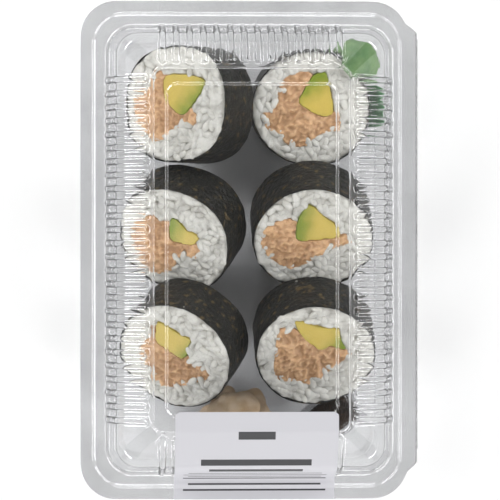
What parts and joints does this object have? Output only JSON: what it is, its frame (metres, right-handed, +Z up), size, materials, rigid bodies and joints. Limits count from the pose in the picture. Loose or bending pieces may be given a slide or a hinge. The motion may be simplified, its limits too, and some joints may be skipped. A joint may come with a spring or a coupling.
{
  "type": "takeaway sushi tray",
  "caption": "Shut, clear ribbed clamshell box of large cut sushi rolls leaning in two columns, with wasabi, ginger and a sauce sachet.",
  "frame": {"origin": "centre of the tray's underside, on the surface that it stands on", "axes": "+Y along the tray's length, from its labelled front to its back; +X towards the lid's hinge; +Z up"},
  "size_m": [0.1342, 0.1984, 0.0517],
  "materials": {
    "clear_plastic": "clear thermoformed sheet",
    "label_paper": "smooth white label",
    "nori": "dark roasted seaweed sheet, slightly shiny",
    "rice": "moist white sushi rice",
    "tuna": "flaked tuna in mayonnaise",
    "avocado": "ripe avocado, yellow to green",
    "wasabi": "soft paste",
    "ginger": "wet pickled slices",
    "sachet": "clear film over dark sauce",
    "leaf_plastic": "dark green plastic"
  },
  "bodies": {
    "tray": {"tray_base": "clear_plastic", "nori_A": "nori", "rice_A": "rice", "tuna_A": "tuna", "avocado_A": "avocado", "nori_B": "nori", "rice_B": "rice", "tuna_B": "tuna", "avocado_B": "avocado", "nori_C": "nori", "rice_C": "rice", "tuna_C": "tuna", "avocado_C": "avocado", "nori_D": "nori", "rice_D": "rice", "tuna_D": "tuna", "avocado_D": "avocado", "nori_E": "nori", "rice_E": "rice", "tuna_E": "tuna", "avocado_E": "avocado", "nori_F": "nori", "rice_F": "rice", "tuna_F": "tuna", "avocado_F": "avocado", "wasabi": "wasabi", "ginger": "ginger", "soy_sachet": "sachet", "leaf": "leaf_plastic"},
    "lid": {"lid": "clear_plastic", "label": "label_paper"}
  },
  "joints": [
    {"name": "lid_hinge", "type": "hinge", "parent": "tray", "child": "lid", "pos_m": [0.06725, 0, 0.0263], "axis": [0, 1, 0], "range_deg": [0, 180]}
  ]
}
